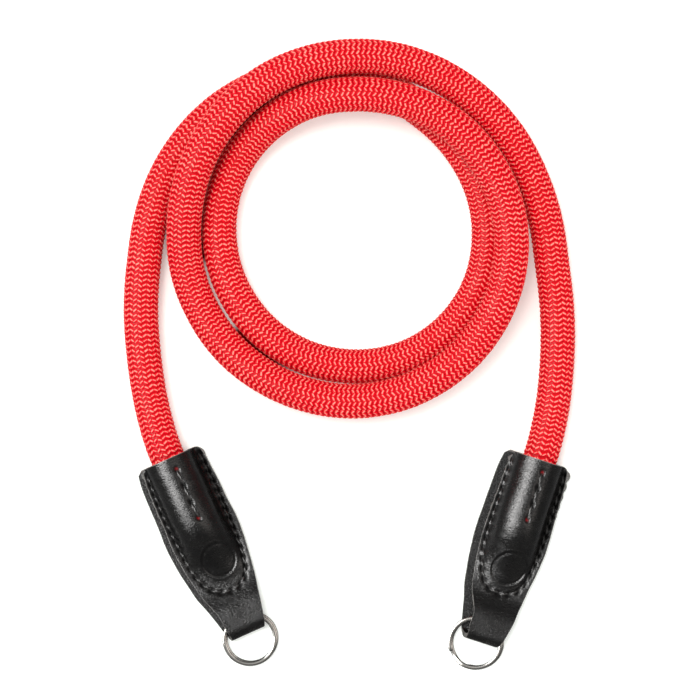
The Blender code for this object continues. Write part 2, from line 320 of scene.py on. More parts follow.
class Finish(Nodes):
    """A material, with what is the same all over set on the shader itself."""

    def __init__(self, name, **plain):
        self.material = bpy.data.materials.new(name)
        self.material.use_nodes = True
        super().__init__(self.material.node_tree)
        self.shader = self.nodes["Principled BSDF"]
        for socket, value in plain.items():
            self.shader.inputs[socket.replace("_", " ")].default_value = value

    def shade(self, **sockets):
        """Links what varies over the surface to the shader's own sockets."""
        for name, value in sockets.items():
            self.feed(self.shader.inputs[name.replace("_", " ")], value)

    def attribute(self, name, output="Fac"):
        return self.add("ShaderNodeAttribute", {"attribute_name": name}, {}, output)

    def scaled(self, vector, scale):
        return self.add("ShaderNodeVectorMath", {"operation": "MULTIPLY"}, {0: vector, 1: scale})

    def noise(self, vector, scale, detail=2.0, roughness=0.5, distortion=0.0):
        return self.add("ShaderNodeTexNoise", {}, {
            "Vector": vector, "Scale": scale, "Detail": detail,
            "Roughness": roughness, "Distortion": distortion})

    def mixed(self, factor, first, second):
        return self.add("ShaderNodeMix", {"data_type": "RGBA"}, {0: factor, 6: first, 7: second}, 2)

    def raised(self, height, distance, strength=1.0):
        return self.add("ShaderNodeBump", {}, {
            "Strength": strength, "Distance": distance, "Height": height})


def piece(name, mesh, finish, replaces=()):
    """Puts a finished mesh in the scene as a piece that rides on the part's one body."""
    made = bpy.data.objects.new(name, mesh)
    mesh.materials.append(finish.material)
    mesh.polygons.foreach_set("use_smooth", np.ones(len(mesh.polygons), dtype=bool))
    bpy.context.scene.collection.objects.link(made)
    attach(made, "root")
    if replaces:
        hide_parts(*replaces)
    return made


# %% [markdown]
# ## The finish of the rope
#
# The rope is braided from bright red yarn. Each bit of yarn is a pure strong red on its
# flanks; a pale salmon dash along its crown is a painted highlight, and the deep red in
# the gaps is painted shade. The mesh below carries those places as an attribute, so the
# colour follows every single bit of yarn however the rope bends. Fine lines along each bit
# are its filaments, and a tone of its own keeps neighbours from looking alike.

# %% Red braid
GAP_SHADE_RED = (0.55, 0.0, 0.004, 1.0)
YARN_RED = (0.78, 0.0, 0.013, 1.0)
PAINTED_CROWN_HIGHLIGHT = (0.95, 0.34, 0.265, 1.0)

braid = Finish("red_braid", Specular_IOR_Level=0.12, Sheen_Weight=0.04,
               Sheen_Roughness=0.35, Sheen_Tint=(1.0, 0.35, 0.3, 1.0))
yarn_along = braid.add("ShaderNodeSeparateXYZ", {}, {0: braid.attribute("yarn", "Vector")})
yarn_across, yarn_height = yarn_along.other(1), yarn_along.other(2)
tone = braid.attribute("tone")
filaments = braid.noise(
    braid.add("ShaderNodeCombineXYZ", {}, {0: yarn_along * 0.9, 1: yarn_across * 5.0, 2: tone * 40.0}), 1.6)
middle_of_bit = braid.between(yarn_along * yarn_along, 0.7, 0.3)
uneven_height = yarn_height + (filaments - 0.5) * 0.3 + (tone - 0.5) * 0.1
# Painted highlight: a pale salmon dash along the crown of each bit of yarn.
crown = middle_of_bit * braid.between(uneven_height, 0.77, 0.93)
# Painted shade: deep red low on each bit, in the gaps between bits and on the core.
out_of_gap_shade = braid.between(yarn_height, -0.1, 0.6)
shaded_body_red = braid.mixed(out_of_gap_shade, GAP_SHADE_RED, YARN_RED)
braid.shade(
    Base_Color=braid.mixed(crown * 0.82, shaded_body_red, PAINTED_CROWN_HIGHLIGHT),
    Roughness=0.38 + filaments * 0.1,
    Normal=braid.raised(filaments, 0.05 * MM, 0.5),
)
print("nodes in the braid:", len(braid.nodes))

# %% [markdown]
# ## The rope
#
# The braid has 24 columns round it. In each column the visible bits of yarn lean the
# same way and lie under one another at an even pitch, and neighbouring columns lean
# opposite ways, which makes the rows of small chevrons. A picture of that on a smooth
# tube would lose its bumpy outline, so each bit is real: one small rounded grain is
# modelled once, copied about fourteen thousand times in the rope's own measures, and
# bent onto its line. The grain has few faces because it is repeated so often.

# %% One bit of yarn
GRAIN_SIDES = 6
GRAIN_RINGS = 3
RING_PLACE = 0.62
EDGE_TO_TOP = 180 / GRAIN_SIDES


def faces_of(bm):
    """Each face as the numbers of its corners."""
    bm.verts.index_update()
    return [[vert.index for vert in face.verts] for face in bm.faces]


grain_bm = bmesh.new()
bmesh.ops.create_uvsphere(grain_bm, u_segments=GRAIN_SIDES, v_segments=GRAIN_RINGS, radius=1.0)
bmesh.ops.rotate(grain_bm, verts=grain_bm.verts, matrix=Matrix.Rotation(math.radians(90), 3, "Y"))
for vert in grain_bm.verts:
    if abs(vert.co.x) < 0.9:
        vert.co = (math.copysign(RING_PLACE, vert.co.x), *(vert.co.yz.normalized()))
bmesh.ops.rotate(grain_bm, verts=grain_bm.verts, matrix=Matrix.Rotation(math.radians(EDGE_TO_TOP), 3, "X"))
bmesh.ops.recalc_face_normals(grain_bm, faces=grain_bm.faces)
grain = np.array([vert.co[:] for vert in grain_bm.verts])
grain_faces = faces_of(grain_bm)
grain_bm.free()
print("corners of a grain:", len(grain), " faces:", len(grain_faces))

# %% Lay the grains along the rope
ROPE_RADIUS = 5.5 * MM
COLUMNS = 24
ROW_PITCH = 1.59 * MM
YARN_LEAN = 33.0
GRAIN_HALF_LENGTH = 0.99 * MM
GRAIN_HALF_WIDTH = 0.67 * MM
GRAIN_HALF_HEIGHT = 0.52 * MM
SHOWS_INSIDE_MOUTH = 5.0 * MM
SLOW_TWIST = math.radians(25)
COLUMN_SHIFT = 0.22
LEAN_VARIES = 2.5
SIZE_VARIES = 0.03
HEIGHT_VARIES = 0.02 * MM

chance = np.random.RandomState(11)
column_phase = chance.uniform(-COLUMN_SHIFT, COLUMN_SHIFT, COLUMNS) * ROW_PITCH
weave_start = ROPE_HIDDEN_IN_TAB - SHOWS_INSIDE_MOUTH
row_starts = np.arange(weave_start, ROPE_LENGTH - weave_start, ROW_PITCH)


def yarn_bits(first_column, lean):
    """The corners of every grain in every second column, with their places on the grain."""
    columns = np.arange(first_column, COLUMNS, 2)
    along = (row_starts[:, None] + column_phase[columns][None, :]).ravel()
    around = np.tile(2 * math.pi * columns / COLUMNS, len(row_starts))
    count = len(along)
    turn = np.radians(lean * YARN_LEAN + chance.normal(0.0, LEAN_VARIES, count))[:, None]
    stretch = chance.normal(1.0, SIZE_VARIES, count)[:, None]
    length = grain[None, :, 0] * GRAIN_HALF_LENGTH * stretch
    width = grain[None, :, 1] * GRAIN_HALF_WIDTH * stretch
    own_height = chance.normal(0.0, HEIGHT_VARIES, count)[:, None]
    height = ROPE_RADIUS - GRAIN_HALF_HEIGHT * (1 - grain[None, :, 2]) + own_height
    across_rope = length * np.cos(turn) - width * np.sin(turn)
    along_rope = length * np.sin(turn) + width * np.cos(turn)
    where = along[:, None] + along_rope
    angle = around[:, None] + across_rope / ROPE_RADIUS + SLOW_TWIST * where / ROPE_LENGTH
    corners = on_rope(where, angle, height)
    tones = np.repeat(chance.uniform(0.0, 1.0, count), len(grain))
    return corners, np.tile(grain, (count, 1)), tones


def repeat_faces(faces, corners, copies, start=0):
    """The faces of many copies of one shape whose corners follow one another."""
    first = (start + np.arange(copies) * corners)[:, None]
    return [row for face in faces for row in (first + np.array(face)[None, :]).tolist()]


def mesh_of(name, corners, faces):
    mesh = bpy.data.meshes.new(name)
    mesh.from_pydata(np.asarray(corners).reshape(-1, 3).tolist(), [], faces)
    return mesh


def set_yarn(mesh, places, tones):
    """Writes each corner's place on its bit of yarn, and that bit's own tone."""
    yarn = mesh.attributes.new("yarn", "FLOAT_VECTOR", "POINT")
    yarn.data.foreach_set("vector", places.astype(np.float32).ravel())
    tone_of_bit = mesh.attributes.new("tone", "FLOAT", "POINT")
    tone_of_bit.data.foreach_set("value", tones.astype(np.float32))


# %% [markdown]
# Under the grains runs a plain tube, the rope's core, so that nobody can see through the
# gaps. It starts as a flat grid that is bent onto the same line, its seam is merged and
# its ends are closed. Core and half of the grains make one piece, which takes the place of
# the solid rope; the other half of the grains goes with it.

# %% The core, and the rope's two pieces
CORE_RADIUS = 4.98 * MM
CORE_SIDES = 24
CORE_RINGS = 240


def grid_of(corners):
    """A flat grid of the right fineness whose corners are then put in their places."""
    rows, columns = corners.shape[0] - 1, corners.shape[1] - 1
    bm = bmesh.new()
    bmesh.ops.create_grid(bm, x_segments=columns, y_segments=rows, size=0.5)
    for vert in bm.verts:
        row, column = round((vert.co.y + 0.5) * rows), round((vert.co.x + 0.5) * columns)
        vert.co = corners[row, column]
    return bm


def tube_of(corners):
    """A grid whose first and last columns meet, closed at both ends."""
    bm = grid_of(corners)
    bmesh.ops.remove_doubles(bm, verts=bm.verts, dist=0.001 * MM)
    bmesh.ops.holes_fill(bm, edges=[edge for edge in bm.edges if edge.is_boundary], sides=0)
    bmesh.ops.recalc_face_normals(bm, faces=bm.faces)
    return bm


core_along, core_around = np.meshgrid(
    np.linspace(0.0, ROPE_LENGTH, CORE_RINGS + 1),
    np.linspace(0.0, 2 * math.pi, CORE_SIDES + 1), indexing="ij")
core_bm = tube_of(on_rope(core_along, core_around, CORE_RADIUS))
core = np.array([vert.co[:] for vert in core_bm.verts])
core_faces = faces_of(core_bm)
core_bm.free()

first_corners, first_places, first_tones = yarn_bits(0, 1)
second_corners, second_places, second_tones = yarn_bits(1, -1)
rope_mesh = mesh_of("rope", np.concatenate([core, first_corners.reshape(-1, 3)]),
                    core_faces + repeat_faces(grain_faces, len(grain), len(first_corners), len(core)))
# The core's corners take the lowest place on a bit of yarn, so the core gets the painted gap shade.
set_yarn(rope_mesh, np.concatenate([np.tile([0.0, 0.0, -1.0], (len(core), 1)), first_places]),
         np.concatenate([np.full(len(core), 0.5), first_tones]))
strand_mesh = mesh_of("rope_crossing_yarn", second_corners,
                      repeat_faces(grain_faces, len(grain), len(second_corners)))
set_yarn(strand_mesh, second_places, second_tones)

braided_rope = piece("braided_rope", rope_mesh, braid, ["rope"])
crossing_yarn = piece("crossing_yarn", strand_mesh, braid)
print("grains:", len(first_corners) + len(second_corners))

# %% [markdown]
# ## The finish of the leather
#
# The tabs are black cowhide with a soft gloss. Its grain is a net of tiny pebbles that
# folds into short wrinkles across the strip, the raised places are polished by handling,
# and the cut edges are burnished to a dull grey with streaks along them, lightened into a
# painted highlight line. The stitch holes are painted black as painted shade. The
# pattern follows the strip through its own map, laid out in real millimetres.

# %% Black leather
LEATHER_BLACK = (0.002, 0.0019, 0.0018, 1.0)
LEATHER_WORN = (0.007, 0.0066, 0.0062, 1.0)
EDGE_GREY_AND_HIGHLIGHT = (0.22, 0.212, 0.2, 1.0)
HOLE_SHADE_BLACK = (0.0005, 0.0005, 0.0005, 1.0)
ROPE_GLIMPSE = (0.35, 0.0, 0.003, 1.0)

leather = Finish("black_leather", Specular_IOR_Level=0.45)
flat_map = leather.add("ShaderNodeUVMap", {"uv_map": "strip"}, {})
wrinkles = leather.noise(leather.scaled(flat_map, (1.1, 2.9, 1.0)), 1.0, roughness=0.55, distortion=0.7)
pebbles = leather.add("ShaderNodeTexVoronoi", {"feature": "F1"}, {
    "Vector": leather.scaled(flat_map, (1.0, 1.5, 1.0)), "Scale": 1.9, "Randomness": 1.0})
patches = leather.noise(flat_map, 0.16)
streaks = leather.noise(leather.scaled(flat_map, (6.0, 0.5, 1.0)), 1.0)
cut_edge = leather.attribute("cut_edge")
stitch_hole = leather.attribute("stitch_hole")
rope_behind = leather.attribute("rope_behind")
worn = leather.between(patches, 0.42, 0.62)
polished = worn * 0.6 + leather.between(wrinkles, 0.35, 0.7) * 0.3
skin = leather.mixed(polished, LEATHER_BLACK, LEATHER_WORN)
# Burnished grey on the cut edges, lightened further as a painted highlight line.
burnish_and_highlight = leather.between(cut_edge, 0.3, 0.9) * leather.between(streaks, 0.3, 0.65, 0.35, 1.0)
# Painted shade in the stitch holes: near black, or a shaded dark red where the rope shows through.
hole_shade = leather.mixed(rope_behind, HOLE_SHADE_BLACK, ROPE_GLIMPSE)
leather.shade(
    Base_Color=leather.mixed(
        leather.between(stitch_hole, 0.2, 0.45), leather.mixed(burnish_and_highlight, skin, EDGE_GREY_AND_HIGHLIGHT), hole_shade),
    Roughness=0.27 - worn * 0.05 + leather.between(wrinkles, 0.3, 0.7) * 0.06 + stitch_hole * 0.5,
    Normal=leather.raised(pebbles * 0.4 + wrinkles, 0.115 * MM, 1.0),
)
print("nodes in the leather:", len(leather.nodes))

# %% [markdown]
# ## The leather tabs
#
# Each tab is one strip of leather, folded back on itself round the ring. The back leaf
# lies on the table, the front leaf arches over the rope, is sewn flat to the back leaf
# round it, and opens a little again before the fold. The outer face of the whole strip
# is one grid: up the back leaf, round the fold, and down the front leaf to the mouth.
# Solidify then gives it the thickness of the leather towards the inside, and a small
# bevel rounds its burnished edges.

# %% Measures of a tab
LEATHER = 1.42 * MM
TAB_LENGTH = 60.4 * MM
LEFT_TAB_HALF_WIDTH = 11.85 * MM
RIGHT_TAB_HALF_WIDTH = 11.1 * MM
FOLD_NARROWING = 0.13
MARGIN_HEIGHT = 3.0 * MM
LOOP_HEIGHT = 6.7 * MM
FOLD_RADIUS = LOOP_HEIGHT / 2
ARCH_RADIUS = 7.31 * MM
ARCH_FOOT = 0.7 * MM
CORNER = 1.7 * MM

# Share of the length, of the half width, of the arch, and of the opening round the ring.
TAB_SECTIONS = [
    (0.00, 0.860, 1.00, 0.0),
    (0.05, 0.905, 1.00, 0.0),
    (0.10, 0.937, 1.00, 0.0),
    (0.20, 0.960, 1.00, 0.0),
    (0.28, 0.970, 0.99, 0.0),
    (0.34, 0.982, 0.965, 0.0),
    (0.38, 0.995, 0.93, 0.0),
    (0.42, 1.000, 0.86, 0.0),
    (0.46, 1.000, 0.75, 0.0),
    (0.51, 0.982, 0.57, 0.0),
    (0.56, 0.957, 0.38, 0.0),
    (0.61, 0.922, 0.21, 0.0),
    (0.66, 0.876, 0.09, 0.0),
    (0.71, 0.836, 0.02, 0.03),
    (0.75, 0.790, 0.00, 0.17),
    (0.79, 0.727, 0.00, 0.45),
    (0.82, 0.684, 0.00, 0.70),
    (0.85, 0.646, 0.00, 0.87),
    (0.88, 0.607, 0.00, 0.95),
    (0.942, 0.530, 0.00, 1.0),
]


def tab_measures(along, half_width):
    """Half width, arch and opening at distances from the mouth, with rounded mouth corners."""
    half, arch, opening = read_smooth(TAB_SECTIONS, along / TAB_LENGTH).T
    near_corner = np.clip(1 - along / CORNER, 0.0, 1.0)
    half = half * half_width - CORNER * (1 - np.sqrt(1 - near_corner ** 2)) * 0.8
    return half, np.clip(arch, 0.0, 1.0), np.clip(opening, 0.0, 1.0)


def tab_place(mouth, turn):
    """Across is X, from mouth to fold is Y, up is Z, with the mouth's middle on the floor."""
    along = Vector(along_tab(turn))
    across = along.cross(Vector((0.0, 0.0, 1.0)))
    place = Matrix.Identity(4)
    place.col[0][0:3] = across
    place.col[1][0:3] = along
    place.col[3][0:3] = (mouth[0], mouth[1], 0.0)
    return place


# %% [markdown]
# The section of the front leaf is a line over the rope: a flat margin, a foot, the arch,
# and the same on the other side. It is drawn dense, rounded where the leather could not
# fold sharply, and then divided evenly, so every row of the grid has the same number of
# corners although the arch sinks into the flat part of the tab.

# %% The section over the rope
ACROSS = 96
SECTION_POINTS = 240
SOFTNESS = 5


def evenly_across(line, count):
    """The same open line in a section's plane, divided evenly."""
    reached = np.concatenate([[0.0], np.cumsum(np.linalg.norm(np.diff(line, axis=0), axis=1))])
    wanted = np.linspace(0.0, reached[-1], count)
    return np.stack([np.interp(wanted, reached, line[:, k]) for k in range(2)], axis=1)


def front_section(left, right, arch, opening):
    """Across and up, from the left edge of the front leaf to its right edge."""
    middle = LEATHER + ARCH_RADIUS
    angle = np.radians(np.arange(0, 181, 5))
    over = np.stack([ARCH_RADIUS * np.cos(angle), middle + ARCH_RADIUS * np.sin(angle)], axis=1)
    foot = ARCH_RADIUS + ARCH_FOOT
    line = np.concatenate([[[left, MARGIN_HEIGHT], [foot, MARGIN_HEIGHT]], over,
                           [[-foot, MARGIN_HEIGHT], [-right, MARGIN_HEIGHT]]])
    arched = evenly_across(line, SECTION_POINTS)
    ends = np.pad(arched, ((3 * SOFTNESS, 3 * SOFTNESS), (0, 0)), mode="reflect", reflect_type="odd")
    soft = np.exp(-0.5 * (np.arange(-3 * SOFTNESS, 3 * SOFTNESS + 1) / SOFTNESS) ** 2)
    arched = np.stack([np.convolve(ends[:, k], soft / soft.sum(), mode="valid") for k in range(2)], axis=1)
    level = np.linspace(left, -right, SECTION_POINTS)
    flat = np.stack([level, np.full(SECTION_POINTS, MARGIN_HEIGHT)], axis=1)
    section = flat + arch * (arched - flat)
    section[:, 1] += opening * (LOOP_HEIGHT - MARGIN_HEIGHT)
    return evenly_across(section, ACROSS + 1)


# %% [markdown]
# ## The seams
#
# A waxed black thread is sewn round each tab in a long U, with a short row over the rope
# on the crown of the arch. The awl leaves slanting oval holes, the thread draws the
# leather down between them, and from above only the middle of each stitch shows. The
# line of the U is a short table for each tab, in millimetres from the mouth and across,
# and the stitches are spaced evenly along it.

# %% Where the stitches go
LEFT_SEAM = [(2.4, 8.4), (8.4, 8.7), (15.0, 9.0), (21.1, 9.0), (28.1, 8.7), (34.7, 8.1), (38.3, 7.4),
             (41.7, 6.0), (44.4, 3.7), (45.8, 0.3), (45.7, -2.7), (44.4, -5.6), (42.0, -7.6), (38.1, -8.6),
             (33.1, -9.2), (26.3, -9.3), (20.2, -9.5), (13.6, -9.5), (8.1, -9.4), (2.4, -9.3)]
RIGHT_SEAM = [(2.5, 7.8), (7.9, 7.8), (13.9, 8.0), (20.6, 8.2), (27.3, 8.1), (32.4, 7.7), (36.8, 6.8),
              (40.2, 5.3), (42.7, 3.4), (44.0, 0.3), (43.8, -2.9), (42.6, -5.7), (39.9, -7.5), (36.3, -8.4),
              (31.0, -8.9), (25.0, -9.2), (19.0, -9.2), (12.0, -9.2), (7.0, -9.2), (2.6, -9.1)]
LEFT_CROWN_SEAM = [(4.0, -1.5), (9.5, -1.5), (15.0, -1.4), (20.6, -1.4)]
RIGHT_CROWN_SEAM = [(3.6, -1.6), (8.6, -1.8), (13.8, -1.8), (19.0, -1.6)]
STITCH = 3.22 * MM
HOLE_SLANT = 24.0


def seam_holes(table, pitch):
    """Evenly spaced holes along a seam, as across and along, with the seam's direction at each."""
    rows = [(k, across * MM, along * MM) for k, (along, across) in enumerate(table)]
    fine = read_smooth(rows, np.linspace(0, len(rows) - 1, 40 * len(rows)))
    reached = np.concatenate([[0.0], np.cumsum(np.linalg.norm(np.diff(fine, axis=0), axis=1))])
    wanted = np.linspace(0.0, reached[-1], int(round(reached[-1] / pitch)) + 1)
    holes = np.stack([np.interp(wanted, reached, fine[:, k]) for k in range(2)], axis=1)
    ahead = np.gradient(holes, axis=0)
    return holes, ahead / np.linalg.norm(ahead, axis=1)[:, None]


# %% [markdown]
# The holes, the groove of the seam and a plain round dish that is pressed into the
# middle of each tab all push the front leaf down a little. One function gives that depth
# for any place on the leaf, and also how much of a hole it is, for the painted shade in
# the holes.

# %% How deep the leaf is pressed
GROOVE_DEPTH = 0.3 * MM
GROOVE_WIDTH = 0.75 * MM
HOLE_DEPTH = 1.05 * MM
HOLE_HALF_LENGTH = 0.9 * MM
HOLE_HALF_WIDTH = 0.56 * MM
STAMP_PLACE = (-1.0 * MM, 35.4 * MM)
STAMP_RADIUS = 5.2 * MM
STAMP_SHOULDER = 0.5 * MM
STAMP_DEPTH = 0.1 * MM
STAMP_LINE_WIDTH = 0.32 * MM
STAMP_LINE_DEPTH = 0.32 * MM
STAMP_RIM_RADIUS = 5.95 * MM
STAMP_RIM_HEIGHT = 0.16 * MM


def smooth_step(value, low, high):
    share = np.clip((value - low) / (high - low), 0.0, 1.0)
    return share * share * (3 - 2 * share)


def pressed(across, along, seams):
    """Depth below the smooth leaf, and how much of a stitch hole each place is."""
    depth, hole_share = np.zeros_like(across), np.zeros_like(across)
    for holes, ahead in seams:
        slant = math.radians(HOLE_SLANT)
        long_way = np.stack([ahead[:, 0] * math.cos(slant) - ahead[:, 1] * math.sin(slant),
                             ahead[:, 0] * math.sin(slant) + ahead[:, 1] * math.cos(slant)], axis=1)
        from_hole = np.stack([across[..., None] - holes[:, 0], along[..., None] - holes[:, 1]], axis=-1)
        p = (from_hole * long_way).sum(-1)
        q = from_hole[..., 0] * long_way[:, 1] - from_hole[..., 1] * long_way[:, 0]
        bowl = np.exp(-(p / HOLE_HALF_LENGTH) ** 2 - (q / HOLE_HALF_WIDTH) ** 2).max(axis=-1)
        a, b = holes[:-1], holes[1:]
        run = b - a
        from_start = np.stack([across, along], -1)[..., None, :] - a
        share = np.clip((from_start * run).sum(-1) / (run ** 2).sum(-1), 0, 1)
        nearest = a + share[..., None] * run
        away = np.hypot(across[..., None] - nearest[..., 0], along[..., None] - nearest[..., 1]).min(axis=-1)
        depth += GROOVE_DEPTH * np.exp(-(away / GROOVE_WIDTH) ** 2) + HOLE_DEPTH * bowl
        hole_share = np.maximum(hole_share, bowl)
    from_stamp = np.hypot(across - STAMP_PLACE[0], along - STAMP_PLACE[1])
    outside = smooth_step(from_stamp, STAMP_RADIUS - STAMP_SHOULDER, STAMP_RADIUS + STAMP_SHOULDER)
    depth += STAMP_DEPTH * (1 - outside)
    depth += STAMP_LINE_DEPTH * np.exp(-((from_stamp - STAMP_RADIUS) / STAMP_LINE_WIDTH) ** 2)
    depth -= STAMP_RIM_HEIGHT * np.exp(-((from_stamp - STAMP_RIM_RADIUS) / STAMP_LINE_WIDTH) ** 2)
    return depth, hole_share


# %% Make the strip of a tab
BACK_ROWS = 44
FOLD_ROWS = 18
FRONT_ROWS = 152
ROWS_CROWD = 0.97
STEP_CLOSES = (0.84 * TAB_LENGTH, 0.95 * TAB_LENGTH)
WAVINESS = 0.14 * MM
WAVE_LENGTH = 7.0 * MM
WAVES_ABOVE = 2.0 * MM
WAVE_SEED = 7
noise.seed_set(WAVE_SEED)


def strip_of(turn_seed, half_width, lean, step, seams):
    """The outer face of a tab in its own frame, row by row, with its map and its marks."""
    fold_start = TAB_LENGTH - FOLD_RADIUS
    back = [(along, 0.0, 1.0) for along in np.linspace(0.0, fold_start, BACK_ROWS, endpoint=False)]
    fold = [
        (fold_start + FOLD_RADIUS * math.sin(a), FOLD_RADIUS * (1 - math.cos(a)),
         1 - FOLD_NARROWING * math.sin(a))
        for a in np.linspace(0.0, math.pi, FOLD_ROWS, endpoint=False)]
    front_along = fold_start * (1 - np.linspace(0.0, 1.0, FRONT_ROWS) ** ROWS_CROWD)
    rows, marks = [], []
    for along, height, narrowed in back + fold:
        half = tab_measures(np.array([min(along, fold_start)]), half_width)[0][0] * narrowed
        across = np.linspace(half, -half, ACROSS + 1)
        row = np.stack([across, np.full_like(across, along), np.full_like(across, height)], axis=1)
        row[:, 0] -= lean * (height - LOOP_HEIGHT / 2)
        rows.append(row)
        marks.append(np.zeros(ACROSS + 1))
    for along, half, arched, opened in zip(front_along, *tab_measures(front_along, half_width)):
        inset = step * (1 - smooth_step(along, *STEP_CLOSES))
        section = front_section(half - inset, half, arched, opened)
        across, height = section[:, 0], section[:, 1]
        depth, hole = pressed(across, np.full_like(across, along), seams)
        height = height - depth
        across = across - lean * (1 - arched) * (height - LOOP_HEIGHT / 2)
        rows.append(np.stack([across, np.full_like(across, along), height], axis=1))
        marks.append(hole)
    strip = np.array(rows)
    for row in strip:
        for point in row:
            wave = noise.noise_vector(Vector(point) / WAVE_LENGTH + Vector((turn_seed, 0.0, 0.0)))
            point += np.array([wave.x, wave.y * 0.5, 0.0]) * WAVINESS
            if point[2] > WAVES_ABOVE:
                point[2] += wave.z * WAVINESS
    steps_down = np.linalg.norm(np.diff(strip[:, ACROSS // 2, 1:], axis=0), axis=1)
    steps_across = np.linalg.norm(np.diff(strip, axis=1), axis=2)
    down = np.concatenate([[0.0], np.cumsum(steps_down)])
    across = np.concatenate([np.zeros((len(strip), 1)), np.cumsum(steps_across, axis=1)], axis=1)
    strip_map = np.stack([across, np.broadcast_to(down[:, None], across.shape)], axis=-1) / MM
    return strip, strip_map, np.array(marks)


# %% Make the two tabs
GLIMPSE_RADIUS = 0.45 * MM
EDGE_ROUNDING = 0.4 * MM
LEFT_CROWN_STITCH, RIGHT_CROWN_STITCH = 5.5 * MM, 5.15 * MM
LEFT_LEAN, RIGHT_LEAN = 0.2, 0.35
LEFT_STEP, RIGHT_STEP = 1.1 * MM, 1.3 * MM


def glimpse_of(point, crown_holes):
    """How much of the red rope shows: only in the first and the last hole of the crown's row."""
    if point[2] < ARCH_RADIUS:
        return 0.0
    nearest = min(math.hypot(point[0] - hole[0], point[1] - hole[1]) for hole in crown_holes[[0, -1]])
    return math.exp(-(nearest / GLIMPSE_RADIUS) ** 2)


def finish_tab(name, mouth, turn, half_width, lean, step, seams, replaces):
    """One tab: its loop leans sideways, and its front leaf steps in from the back leaf's edge."""
    strip, strip_map, holes = strip_of(turn, half_width, lean, step, seams)
    rows, columns = strip.shape[0] - 1, strip.shape[1] - 1
    bm = bmesh.new()
    bmesh.ops.create_grid(bm, x_segments=columns, y_segments=rows, size=0.5)
    uv_layer = bm.loops.layers.uv.new("strip")
    edge_layer = bm.verts.layers.float.new("cut_edge")
    hole_layer = bm.verts.layers.float.new("stitch_hole")
    glimpse_layer = bm.verts.layers.float.new("rope_behind")
    places = {}
    for vert in bm.verts:
        row, column = round((vert.co.y + 0.5) * rows), round((vert.co.x + 0.5) * columns)
        places[vert] = (row, column)
        vert.co = strip[row, column]
        vert[edge_layer] = 1.0 if column in (0, columns) or row in (0, rows) else 0.0
        vert[hole_layer] = holes[row, column]
        vert[glimpse_layer] = glimpse_of(strip[row, column], seams[-1][0])
    for face in bm.faces:
        for loop in face.loops:
            loop[uv_layer].uv = strip_map[places[loop.vert]]
    bm.normal_update()
    if sum(face.normal.z for face in bm.faces if face.calc_center_median().z > MARGIN_HEIGHT) < 0:
        bmesh.ops.reverse_faces(bm, faces=bm.faces)
    outer = BVHTree.FromBMesh(bm)
    bmesh.ops.transform(bm, verts=bm.verts, matrix=tab_place(mouth, turn))
    mesh = bpy.data.meshes.new(name)
    bm.to_mesh(mesh)
    bm.free()
    tab = piece(name, mesh, leather, replaces)
    thickness = tab.modifiers.new("thickness", "SOLIDIFY")
    thickness.thickness = LEATHER
    thickness.offset = -1.0
    rounding = tab.modifiers.new("burnished_edge", "BEVEL")
    rounding.width = EDGE_ROUNDING
    rounding.segments = 3
    rounding.limit_method = "ANGLE"
    rounding.angle_limit = math.radians(60)
    print(name, "faces:", len(mesh.polygons))
    return outer


left_seams = [seam_holes(LEFT_SEAM, STITCH), seam_holes(LEFT_CROWN_SEAM, LEFT_CROWN_STITCH)]
right_seams = [seam_holes(RIGHT_SEAM, STITCH), seam_holes(RIGHT_CROWN_SEAM, RIGHT_CROWN_STITCH)]
left_leaf = finish_tab(
    "left_leather_tab", LEFT_MOUTH, LEFT_TAB_TURN, LEFT_TAB_HALF_WIDTH, LEFT_LEAN, LEFT_STEP,
    left_seams, ["left_tab"])
right_leaf = finish_tab(
    "right_leather_tab", RIGHT_MOUTH, RIGHT_TAB_TURN, RIGHT_TAB_HALF_WIDTH, RIGHT_LEAN, RIGHT_STEP,
    right_seams, ["right_tab"])

# %% [markdown]
# ## The thread
#
# Waxed thread is two plies twisted together, thick enough to see each ply. One stitch is
# two thin tubes that wind round each other, rise out of one hole and dip into the next.
# The tubes start as grids in the stitch's own measures and are put down on the leaf,
# whose height is found by looking down on it from above.

# %% Waxed thread
THREAD_DARK = (0.006, 0.006, 0.006, 1.0)
THREAD_LIGHT = (0.035, 0.034, 0.032, 1.0)

thread = Finish("waxed_thread", Specular_IOR_Level=0.9)
thread_map = thread.add("ShaderNodeTexCoord", {}, {}, "Object")
fibres = thread.noise(thread.scaled(thread_map, (1 / MM, 1 / MM, 1 / MM)), 3.0)
thread.shade(
    Base_Color=thread.mixed(thread.between(fibres, 0.35, 0.7), THREAD_DARK, THREAD_LIGHT),
    Roughness=0.3 + fibres * 0.2,
    Normal=thread.raised(fibres, 0.05 * MM, 0.6),
)

# %% Sew the tabs
THREAD_RADIUS = 0.2 * MM
PLY_OFFSET = 0.15 * MM
THREAD_RISE = 0.16 * MM
THREAD_DIP = 0.9 * MM
THREAD_ASLANT = 0.22 * MM
TWISTS = 1.3
PLY_SIDES = 7
PLY_RINGS = 12


def height_on(leaf, across, along):
    """The height of the leaf straight below a place."""
    hit = leaf.ray_cast(Vector((across, along, 0.05)), Vector((0.0, 0.0, -1.0)))[0]
    return hit.z if hit else MARGIN_HEIGHT


